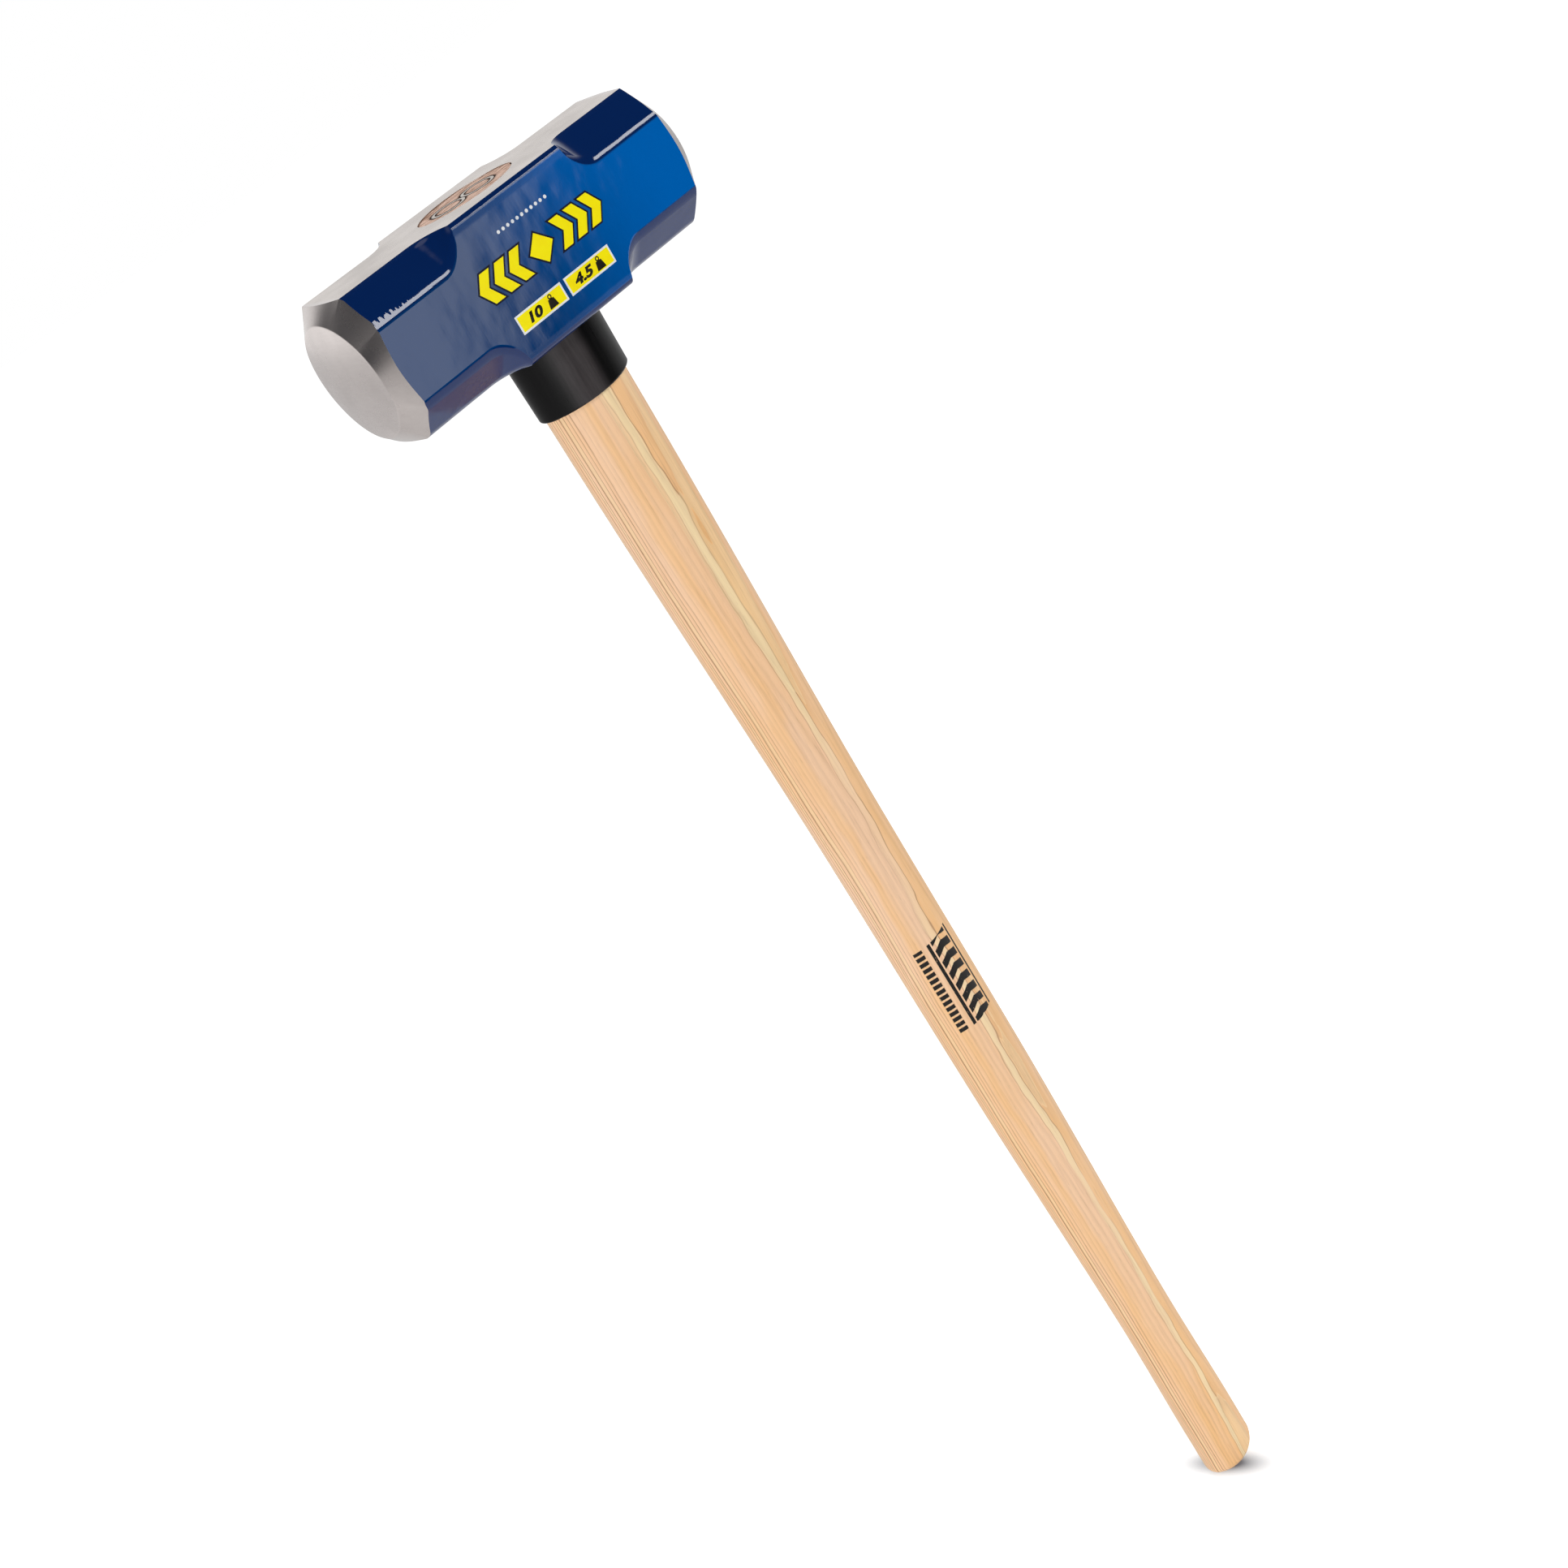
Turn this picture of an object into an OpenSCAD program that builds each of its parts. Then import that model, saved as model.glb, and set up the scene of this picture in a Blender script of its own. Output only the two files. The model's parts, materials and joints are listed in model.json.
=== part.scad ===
// Ten pound double face sledgehammer with a hickory handle.
// It stands upright: the butt of the handle is at z = 0 and the head is on top.
// The head lies along X and its labels face -Y. All sizes are in millimetres.

/* [Overall] */
// Overall length, butt of the handle to the top of the head
overall_l = 914; // [790:1:1100]
// Length of the head, striking face to striking face
head_l = 181; // [150:0.5:220]
// Width of the square head, label side to back
head_w = 63.5; // [56:0.5:76]
// Height of the head, underside to top
head_h = 63.5; // [56:0.5:76]

/* [Head] */
// Length of the square block around the eye
cheek_l = 59; // [56:0.5:72]
// Rounding of the long edges of the block
edge_r = 2; // [0.5:0.25:4]
// How far a chamfer reaches in from the edges of the bar
chamfer_leg = 14.75; // [10:0.25:18]
// Radius of the hollow where a chamfer runs out at the block
runout_r = 16; // [12:0.5:20]
// Diameter of the striking faces
face_d = 52; // [44:0.5:56]
// Depth of the ground bevel around a striking face
bevel_l = 8; // [5:0.25:12]
// Height of the crown of a striking face
crown_h = 2.6; // [1:0.1:4]

/* [Eye] */
// Length of the eye at the underside of the head
eye_l = 45.4; // [40:0.2:50]
// Width of the eye at the underside of the head
eye_w = 31.6; // [28:0.2:34]
// Radius of the ends of the eye at the underside
eye_end_r = 9.8; // [8:0.1:12]
// Growth of the eye on each side up to the top
eye_flare = 2.1; // [0.5:0.1:3]
// Clearance between the eye and the handle
eye_clearance = 0.05; // [0:0.01:0.2]

/* [Handle] */
// Depth of the handle's end below the top of the head
end_recess = 0.3; // [0:0.1:1]
// Half sizes of the handle in X and Y at the swell above the butt
swell = [19.9, 14.4]; // [12:0.1:26]
// Half sizes at the waist
waist = [18.4, 13.3]; // [12:0.1:26]
// Half sizes at the lower grip
grip = [20.4, 14.3]; // [12:0.1:26]
// Half sizes at the middle
middle = [19.9, 13.9]; // [12:0.1:26]
// Height of the swell over the butt
swell_z = 34; // [24:1:60]
// Height of the waist over the butt
waist_z = 154; // [110:1:200]
// Height of the lower grip over the butt
grip_z = 384; // [260:1:400]
// Straight length below the collar
neck_l = 12; // [0:1:40]
// Length of the taper from the collar down to the middle
taper_l = 262; // [100:1:270]
// Rounding of the edge of the butt
butt_r = 7; // [3:0.25:8]

/* [Wedges] */
// Depth of the kerf and of the wooden wedge
kerf_depth = 44; // [30:0.5:52]
// Thickness of the wooden wedge at its top
wedge_t = 5; // [3:0.1:7]
// Thickness of the wooden wedge at its tip
wedge_tip = 1.2; // [0.8:0.1:2]
// Outer diameter of a ring wedge
ring_d = 16; // [12:0.5:18]
// Wall of a ring wedge at its top
ring_wall = 1.5; // [1:0.1:2.5]
// Wall of a ring wedge at its driven edge
ring_edge = 0.4; // [0.3:0.1:1]
// Length of a ring wedge
ring_l = 20; // [14:0.5:26]
// Gap between the two ring wedges
ring_gap = 0.6; // [0.4:0.1:3]
// Place of the pair of ring wedges off the middle of the eye
ring_shift = -1.4; // [-3:0.1:3]

/* [Collar] */
// Length of the overstrike collar below the head
collar_l = 31; // [24:0.5:60]
// Wall of the collar at its lower end
collar_wall = 2.3; // [1.5:0.1:4]
// Extra wall at the head end
collar_taper = 0.4; // [0:0.1:1.5]
// Chamfer of the lower rim
collar_rim = 1; // [0.4:0.1:1.2]
// Clearance between the collar and the handle
collar_clearance = 0.05; // [0:0.01:0.2]

/* [Labels] */
// Thickness of the labels
label_t = 0.12; // [0.08:0.01:0.3]
// Length of the emblem
emblem_l = 70; // [50:1:76]
// Height of the emblem
emblem_h = 13; // [8:0.5:16]
// Height of the emblem's middle over the middle of the head
emblem_z = 3.6; // [0:0.1:5]
// Length of the white line of dots
line_l = 28; // [16:0.5:40]
// Diameter of one dot of the white line
dot_d = 1.5; // [1:0.1:2]
// Height of the white line over the middle of the head
line_z = 18.5; // [14:0.1:24]
// Length of a weight label
weight_l = 26.4; // [18:0.2:28]
// Height of a weight label
weight_h = 8; // [6:0.1:9]
// Gap between the two weight labels
weight_gap = 2; // [1:0.1:6]
// Depth of the weight labels' middle below the middle of the head
weight_z = 15.5; // [12:0.1:20]

/* [Hidden] */
$fn = 96;
far = 120;
// How far a cutter reaches past the face that it cuts through.
cut = 1;
head_z = overall_l - head_h / 2;
under_z = overall_l - head_h;
collar_z = under_z - collar_l;
end_z = overall_l - end_recess;
// A chamfer is a flat at 45 degrees. These are the distances of the bar's corner
// and of the flat from the head's axis, and the depth between them.
corner_r = (head_w + head_h) / 2 / sqrt(2);
runout_h = chamfer_leg / sqrt(2);
chamfer_r = corner_r - runout_h;
runout_x = cheek_l / 2 + sqrt(2 * runout_r * runout_h - runout_h * runout_h);
// The striking face is a cap of a sphere that ends on the face's own circle.
face_x = head_l / 2 - crown_h;
crown_r = (face_d * face_d / 4 + crown_h * crown_h) / (2 * crown_h);
bevel_r = max(
    norm([head_w / 2, head_h / 2 - chamfer_leg]), norm([head_w / 2 - chamfer_leg, head_h / 2])
);
bevel_rise = (bevel_r - face_d / 2) / bevel_l;
// The handle keeps the eye's lower size down to just below the collar.
neck = [eye_l / 2 - eye_clearance, eye_w / 2 - eye_clearance];
neck_end_r = eye_end_r - eye_clearance;
end_share = neck_end_r / neck[1];
// Stations of the shaft from the butt to the collar: height and half sizes.
stations = [
    [0, swell], [swell_z, swell], [waist_z, waist], [grip_z, grip],
    [collar_z - taper_l, middle], [collar_z - neck_l, neck], [under_z, neck]
];
// The skins: points around a ring, rings on the butt's rounding, height between the shaft's rings.
ring_points = 40;
butt_rings = 6;
ring_step = 24;
shaft_rings = ceil((under_z - butt_r) / ring_step);
ring_x = (ring_d + ring_gap) / 2;
dots = 11;
chevron_w = 5.2;
chevron_lean = emblem_h / 3;
chevron_pitch = 8.4;
chevrons = 3;

// Radius of the side arcs of a four arc oval with half sizes a and b and end radius r.
function side_r(a, b, r) = (b * b + (a - r) * (a - r) - r * r) / (2 * (b - r));

// Point of the oval whose outward normal has the angle t, moved inwards by inset.
function oval_point(a, b, r, t, inset) =
    let (
        big = side_r(a, b, r),
        c = a - r,
        k = big - b,
        on_end = abs(cos(t)) * k > abs(sin(t)) * c,
        sx = sign(cos(t)),
        sy = sign(sin(t))
    )
    on_end
        ? [sx * c + (r - inset) * cos(t), (r - inset) * sin(t)]
        : [(big - inset) * cos(t), -sy * k + (big - inset) * sin(t)];

function smooth(u) = u * u * (3 - 2 * u);

// Half sizes of the shaft at height z, between stations i and i + 1.
function half_size(z, i = 0) =
    i < len(stations) - 2 && z > stations[i + 1][0]
        ? half_size(z, i + 1)
        : let (
            low = stations[i],
            high = stations[i + 1],
            u = (z - low[0]) / (high[0] - low[0])
        )
        low[1] + (high[1] - low[1]) * smooth(min(1, max(0, u)));

// Height of ring i of the shaft: a quarter circle around the butt, then even steps.
function ring_z(i) =
    i <= butt_rings
        ? butt_r * (1 - cos(90 * i / butt_rings))
        : butt_r + (under_z - butt_r) * (i - butt_rings) / shaft_rings;

// A ring is its height, half sizes, end radius, and how far it is moved inwards.
function shaft_ring(i) =
    let (size = half_size(ring_z(i)))
    [ring_z(i), size, size[1] * end_share, max(0, butt_r * (1 - sin(90 * min(1, i / butt_rings))))];

// Ring of the eye at height z, smaller on all sides by a gap. The eye widens upwards.
function eye_ring(z, gap) =
    [z, [eye_l / 2, eye_w / 2], eye_end_r, gap - eye_flare * (z - under_z) / head_h];

// Ring around the handle's neck, wider on all sides by a wall.
function neck_ring(z, wall) = [z, neck, neck_end_r, -wall];

// Skins a solid over a list of rings, from the lowest to the highest.
module loft(rings) {
    last = len(rings) - 1;
    points = [
        for (ring = rings, j = [0:ring_points - 1])
            let (p = oval_point(ring[1][0], ring[1][1], ring[2], 360 * j / ring_points, ring[3]))
            [p[0], p[1], ring[0]]
    ];
    walls = [
        for (i = [0:last - 1], j = [0:ring_points - 1])
            let (
                a = i * ring_points + j,
                b = i * ring_points + (j + 1) % ring_points
            )
            each [[a, a + ring_points, b], [b, a + ring_points, b + ring_points]]
    ];
    bottom = [for (j = [0:ring_points - 1]) j];
    top = [for (j = [ring_points - 1:-1:0]) last * ring_points + j];
    polyhedron(points = points, faces = concat(walls, [bottom, top]));
}

module rounded_square(w, h, r) {
    square([w - 2 * r, h], center = true);
    square([w, h - 2 * r], center = true);
    for (x = [-1, 1], y = [-1, 1])
        translate([x * (w / 2 - r), y * (h / 2 - r)]) circle(r);
}

// One end of the head: a crowned face and a bevel turned about the head's axis.
module turned_end() {
    rotate([0, 90, 0])
        intersection() {
            rotate_extrude()
                polygon([
                    [0, 0], [far, 0], [far, face_x - (far - face_d / 2) / bevel_rise],
                    [face_d / 2, face_x], [face_d / 2 - crown_h / bevel_rise, head_l / 2],
                    [0, head_l / 2]
                ]);
            translate([0, 0, head_l / 2 - crown_r]) sphere(crown_r);
        }
}

// Cuts one chamfer off a corner of the bar, with its hollow run-out at the block.
module chamfer_cutter() {
    translate([runout_x, 0, chamfer_r + runout_r])
        rotate([90, 0, 0]) cylinder(h = 2 * head_w, r = runout_r, center = true);
    translate([runout_x, -head_w, chamfer_r]) cube([head_l, 2 * head_w, runout_h + head_w]);
}

module head() {
    color("royalblue")
        difference() {
            translate([0, 0, head_z])
                difference() {
                    intersection() {
                        rotate([90, 0, 90])
                            linear_extrude(height = head_l, center = true)
                            rounded_square(head_w, head_h, edge_r);
                        union() {
                            turned_end();
                            mirror([1, 0, 0]) turned_end();
                        }
                    }
                    for (side = [0, 1], corner = [45:90:315])
                        mirror([side, 0, 0]) rotate([corner, 0, 0]) chamfer_cutter();
                }
            loft([eye_ring(under_z - cut, 0), eye_ring(overall_l + cut, 0)]);
        }
}

// The kerf runs the whole length of the eye and narrows downwards; over makes it taller.
module kerf_shape(over) {
    translate([0, 0, end_z])
        rotate([90, 0, 90])
        linear_extrude(height = eye_l + 4 * eye_flare, center = true)
        polygon([
            [-wedge_t / 2, over], [-wedge_t / 2, 0], [-wedge_tip / 2, -kerf_depth],
            [wedge_tip / 2, -kerf_depth], [wedge_t / 2, 0], [wedge_t / 2, over]
        ]);
}

module ring_wedge_shape(side, over) {
    translate([ring_shift + side * ring_x, 0, end_z])
        rotate_extrude()
        polygon([
            [ring_d / 2 - ring_wall, over], [ring_d / 2 - ring_wall, 0], [ring_d / 2 - ring_edge, -ring_l],
            [ring_d / 2, -ring_l], [ring_d / 2, over]
        ]);
}

module ring_wedge_shapes(over) {
    for (side = [-1, 1])
        ring_wedge_shape(side, over);
}

module handle() {
    color("burlywood")
        difference() {
            loft(concat(
                [for (i = [0:butt_rings + shaft_rings]) shaft_ring(i)],
                [eye_ring(end_z, eye_clearance)]
            ));
            kerf_shape(cut);
            ring_wedge_shapes(cut);
        }
}

module wooden_wedge() {
    color("peru")
        difference() {
            intersection() {
                loft([eye_ring(under_z, eye_clearance), eye_ring(end_z, eye_clearance)]);
                kerf_shape(0);
            }
            ring_wedge_shapes(cut);
        }
}

module ring_wedge_left() {
    color("silver") ring_wedge_shape(-1, 0);
}

module ring_wedge_right() {
    color("silver") ring_wedge_shape(1, 0);
}

module overstrike_collar() {
    color("dimgray")
        difference() {
            loft([
                neck_ring(collar_z, collar_wall - collar_rim),
                neck_ring(collar_z + collar_rim, collar_wall),
                neck_ring(under_z, collar_wall + collar_taper)
            ]);
            loft([
                neck_ring(collar_z - cut, collar_clearance), neck_ring(under_z + cut, collar_clearance)
            ]);
        }
}

// Lays a flat outline on the label side of the head; its Y runs up the head.
module on_label_side(up) {
    translate([0, -head_w / 2, head_z + up])
        rotate([90, 0, 0])
        linear_extrude(height = label_t)
        children();
}

module chevron(w, h, lean) {
    polygon([[0, 0], [w, 0], [w + lean, h / 2], [w, h], [0, h], [lean, h / 2]]);
}

// A diamond between outward pointing chevrons.
module emblem_label() {
    color("gold")
        on_label_side(emblem_z) {
            polygon([[-emblem_h / 2, 0], [0, -emblem_h / 2], [emblem_h / 2, 0], [0, emblem_h / 2]]);
            for (side = [0, 1], i = [0:chevrons - 1])
                mirror([side, 0])
                translate([emblem_l / 2 - chevron_w - chevron_lean - i * chevron_pitch, -emblem_h / 2])
                chevron(chevron_w, emblem_h, chevron_lean);
        }
}

module dotted_line_label() {
    color("white")
        on_label_side(line_z)
        for (i = [0:dots - 1])
            translate([(i / (dots - 1) - 0.5) * (line_l - dot_d), 0]) circle(d = dot_d);
}

module weight_label(side) {
    on_label_side(-weight_z)
        translate([side * (weight_l + weight_gap) / 2, 0])
        square([weight_l, weight_h], center = true);
}

module weight_label_pounds() {
    color("gold") weight_label(-1);
}

module weight_label_kilos() {
    color("gold") weight_label(1);
}

head();
handle();
wooden_wedge();
ring_wedge_left();
ring_wedge_right();
overstrike_collar();
emblem_label();
dotted_line_label();
weight_label_pounds();
weight_label_kilos();
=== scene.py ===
import json
import math
import bmesh
import bpy
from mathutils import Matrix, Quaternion, Vector

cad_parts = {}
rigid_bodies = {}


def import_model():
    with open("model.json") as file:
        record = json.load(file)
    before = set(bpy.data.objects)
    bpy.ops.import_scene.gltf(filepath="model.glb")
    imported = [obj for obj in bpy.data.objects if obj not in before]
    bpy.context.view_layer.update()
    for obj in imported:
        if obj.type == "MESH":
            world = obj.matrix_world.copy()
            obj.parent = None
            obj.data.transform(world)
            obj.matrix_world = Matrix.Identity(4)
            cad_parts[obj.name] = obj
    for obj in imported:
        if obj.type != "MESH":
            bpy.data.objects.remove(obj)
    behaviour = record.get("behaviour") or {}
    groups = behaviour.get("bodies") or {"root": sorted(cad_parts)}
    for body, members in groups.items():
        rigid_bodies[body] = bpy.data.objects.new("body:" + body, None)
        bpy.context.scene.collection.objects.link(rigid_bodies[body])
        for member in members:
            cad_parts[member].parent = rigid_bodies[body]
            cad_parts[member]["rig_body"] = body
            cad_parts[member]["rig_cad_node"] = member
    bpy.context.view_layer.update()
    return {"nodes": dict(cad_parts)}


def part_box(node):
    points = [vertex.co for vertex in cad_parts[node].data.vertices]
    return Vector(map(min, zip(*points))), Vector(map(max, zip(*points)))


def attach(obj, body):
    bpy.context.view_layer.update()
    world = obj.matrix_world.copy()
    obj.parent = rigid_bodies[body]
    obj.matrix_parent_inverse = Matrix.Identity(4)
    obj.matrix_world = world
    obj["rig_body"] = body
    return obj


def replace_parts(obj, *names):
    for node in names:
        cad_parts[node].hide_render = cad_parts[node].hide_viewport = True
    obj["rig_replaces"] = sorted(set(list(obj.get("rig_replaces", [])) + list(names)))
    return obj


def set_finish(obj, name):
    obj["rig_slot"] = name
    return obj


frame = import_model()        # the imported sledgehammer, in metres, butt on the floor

mm = 0.001
headLow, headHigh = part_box("head")
headMiddle = (headLow + headHigh) / 2
handleLow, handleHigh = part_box("handle")
collarLow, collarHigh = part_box("overstrike_collar")
labelSide = headLow.y        # the plane that the labels lie on


# camera, set up first so that every piece can be looked at

camera = {
    "lens": 41.23, "sensor": 36,
    "place": (-0.3701, -0.6768, 1.0325),
    "aim": (-0.0146, 0.0080, 0.6018),
    "roll": 31.94,
    "clip": (0.05, 40),
}


def setCamera():
    deselectAll()
    bpy.ops.object.camera_add(location=camera["place"])
    eye = bpy.context.object
    eye.name = "mainCamera"
    away = Vector(camera["place"]) - Vector(camera["aim"])
    level = away.to_track_quat("Z", "Y")
    eye.rotation_euler = (level @ Quaternion((0, 0, 1), -math.radians(camera["roll"]))).to_euler()
    eye.data.lens = camera["lens"]
    eye.data.sensor_width = camera["sensor"]
    eye.data.clip_start, eye.data.clip_end = camera["clip"]
    bpy.context.scene.camera = eye
    bpy.context.scene.view_settings.view_transform = "Standard"


# helpers for working as in the viewport

def deselectAll():
    if bpy.context.object and bpy.context.object.mode != "OBJECT":
        bpy.ops.object.mode_set(mode="OBJECT")
    bpy.ops.object.select_all(action="DESELECT")


def pick(piece):
    deselectAll()
    piece.select_set(True)
    bpy.context.view_layer.objects.active = piece


def named(name):
    piece = bpy.context.object
    piece.name = name
    piece.data.name = name
    return piece


def settle(piece):  # place, turn and size go into the mesh
    pick(piece)
    bpy.ops.object.transform_apply(location=True, rotation=True, scale=True)


def shape(piece, kind, **settings):  # adds a modifier and applies it
    pick(piece)
    modifier = piece.modifiers.new(kind.title(), kind)
    for key, value in settings.items():
        setattr(modifier, key, value)
    bpy.ops.object.modifier_apply(modifier=modifier.name)


def carve(piece, tool, operation="DIFFERENCE", **settings):
    shape(piece, "BOOLEAN", object=tool, operation=operation, solver="EXACT", **settings)
    bpy.data.objects.remove(tool)


def editOn(piece):
    pick(piece)
    bpy.ops.object.mode_set(mode="EDIT")
    bpy.ops.mesh.select_mode(type="VERT")


def editOff():
    bpy.ops.object.mode_set(mode="OBJECT")


def emptyMesh(name):  # an object to model in, from nothing
    deselectAll()
    bpy.ops.mesh.primitive_plane_add(size=1)
    piece = named(name)
    editOn(piece)
    bpy.ops.mesh.select_all(action="SELECT")
    bpy.ops.mesh.delete(type="VERT")
    return piece


def choose(piece, kind, test):  # in edit mode, selects the elements that pass the test
    bpy.ops.mesh.select_mode(type=kind)
    bpy.ops.mesh.select_all(action="DESELECT")
    mesh = bmesh.from_edit_mesh(piece.data)
    parts = {"VERT": mesh.verts, "EDGE": mesh.edges, "FACE": mesh.faces}[kind]
    for part in parts:
        if test(part):
            part.select_set(True)
    mesh.select_flush_mode()
    bmesh.update_edit_mesh(piece.data)


def tidyNormals(piece, merge=0.001 * mm):
    editOn(piece)
    bpy.ops.mesh.select_all(action="SELECT")
    bpy.ops.mesh.remove_doubles(threshold=merge)
    bpy.ops.mesh.normals_make_consistent(inside=False)
    editOff()


def smoothShade(piece, degrees, weighted=True):
    pick(piece)
    bpy.ops.object.shade_smooth_by_angle(angle=math.radians(degrees))
    if weighted:
        shape(piece, "WEIGHTED_NORMAL", keep_sharp=True, weight=80)


def giveMaterials(piece, *materials):
    piece.data.materials.clear()
    for material in materials:
        piece.data.materials.append(material)


# rings and lofts

def octagonRing(z, half, leg, rounding=0, shift=0):  # a square with cut corners, around Z
    bpy.ops.mesh.primitive_circle_add(
        vertices=4, radius=math.sqrt(2) * half[1], fill_type="NGON",
        location=(0, 0, z), rotation=(0, 0, math.pi / 4))
    bpy.ops.transform.resize(value=(half[0] / half[1], 1, 1), center_override=(0, 0, z))
    bpy.ops.transform.translate(value=(shift, 0, 0))
    bpy.ops.mesh.bevel(offset=leg, offset_type="OFFSET", affect="VERTICES", segments=1)
    if rounding:
        bpy.ops.mesh.bevel(offset=rounding, offset_type="OFFSET", affect="VERTICES", segments=8)


def ovalRing(z, halfX, halfY, endRadius, steps=12):  # four arcs around Z
    side = (halfY ** 2 + (halfX - endRadius) ** 2 - endRadius ** 2) / (2 * (halfY - endRadius))
    endAt = halfX - endRadius
    sideAt = side - halfY
    turn = math.atan2(sideAt, endAt)
    startX = endAt + endRadius * math.cos(turn)
    startY = -endRadius * math.sin(turn)
    bpy.ops.mesh.select_all(action="DESELECT")
    bpy.ops.mesh.primitive_plane_add(size=mm, location=(startX, startY, z))
    bpy.ops.mesh.merge(type="CENTER")
    arcs = [
        (endAt, 0, 2 * turn), (0, -sideAt, math.pi - 2 * turn),
        (-endAt, 0, 2 * turn), (0, sideAt, math.pi - 2 * turn),
    ]
    for centerX, centerY, angle in arcs:
        bpy.ops.mesh.spin(steps=steps, angle=angle, center=(centerX, centerY, z), axis=(0, 0, -1))
    bpy.ops.mesh.select_linked()
    bpy.ops.mesh.remove_doubles(threshold=0.002 * mm)


def growRing(old, new, rise):  # extrudes the selected ring upwards and resizes it
    bpy.ops.mesh.extrude_edges_move(TRANSFORM_OT_translate={"value": (0, 0, rise)})
    bpy.ops.transform.resize(
        value=(new[0] / old[0], new[1] / old[1], 1), center_override=(0, 0, 0),
        constraint_axis=(True, True, False))


def blendStep(share):
    return share * share * (3 - 2 * share)


# head

head = {
    "flatHalf": 17 * mm,        # half width of the flats between the chamfers
    "blockHalf": 29.5 * mm,     # half length of the block around the eye
    "blockLeg": 2.7 * mm,       # small chamfer of the block's own long edges
    "hollow": 16 * mm,          # radius of the hollow where a chamfer runs out
    "rounding": 3.8 * mm,       # how far the rounding of a chamfer's edges reaches
    "grind": 0.9 * mm,          # steel ground off the top after painting
    "dress": 0.22 * mm,         # ground off the label side and the back before painting
    "faceRadius": 26 * mm,
    "crown": 2.6 * mm,
    "faceEdge": 0.45 * mm,      # rounding of the rim of a striking face
    "formAt": 70 * mm,          # the ground ends: an eight sided ring here ...
    "formHalf": 42.75 * mm,
    "formLeg": 19.75 * mm,
    "runoutRings": 26, "lead": 1.5 * mm,    # rings along a hollow, and the plain lead before it
    "capRings": 8, "bevelCuts": 4,
}
eyeHole = {"halfX": 22.7 * mm, "halfY": 15.8 * mm, "endRadius": 9.8 * mm, "flare": 2.1 * mm}


def forgeBar():
    size = headHigh - headLow
    half = (size.z / 2 + head["grind"] / 2, size.y / 2 + head["dress"])
    fullLeg = size.y / 2 - head["flatHalf"]
    depth = fullLeg / math.sqrt(2)
    runout = math.sqrt(2 * head["hollow"] * depth - depth ** 2)
    startX = head["blockHalf"] + runout
    stations = [0, head["blockHalf"] - head["lead"]]
    stations += [head["blockHalf"] + runout * blendStep(0.5 * i / head["runoutRings"]) * 2
                 for i in range(head["runoutRings"] + 1)]
    stations += [startX + 2 * head["lead"], size.x / 2 + 2 * head["lead"]]
    bar = emptyMesh("sledgeHead")
    for end in (-1, 1):
        for x in stations:
            if end < 0 and x == 0:
                continue
            away = min(max(startX - x, 0), runout)
            lift = head["hollow"] - math.sqrt(head["hollow"] ** 2 - away ** 2)
            leg = max(math.sqrt(2) * (depth - lift), head["blockLeg"])
            side = math.sqrt(2) * leg
            bpy.ops.mesh.select_all(action="DESELECT")
            octagonRing(end * x, half, leg, min(head["rounding"], 0.47 * side), -head["grind"] / 2)
    bpy.ops.mesh.select_all(action="SELECT")
    bpy.ops.mesh.delete(type="ONLY_FACE")
    bpy.ops.mesh.select_all(action="SELECT")
    bpy.ops.mesh.bridge_edge_loops(type="SINGLE")
    bpy.ops.mesh.select_all(action="SELECT")
    bpy.ops.mesh.fill_holes(sides=0)
    editOff()
    tidyNormals(bar)
    return bar


def bevelRings(form, low, high):  # cuts the ruled bevel across, so that it shades evenly
    def ruled(edge):
        levels = sorted(vertex.co.z for vertex in edge.verts)
        return abs(levels[0] - low) < 0.01 * mm and abs(levels[1] - high) < 0.01 * mm
    choose(form, "EDGE", ruled)
    bpy.ops.mesh.subdivide(number_cuts=head["bevelCuts"])


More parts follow.
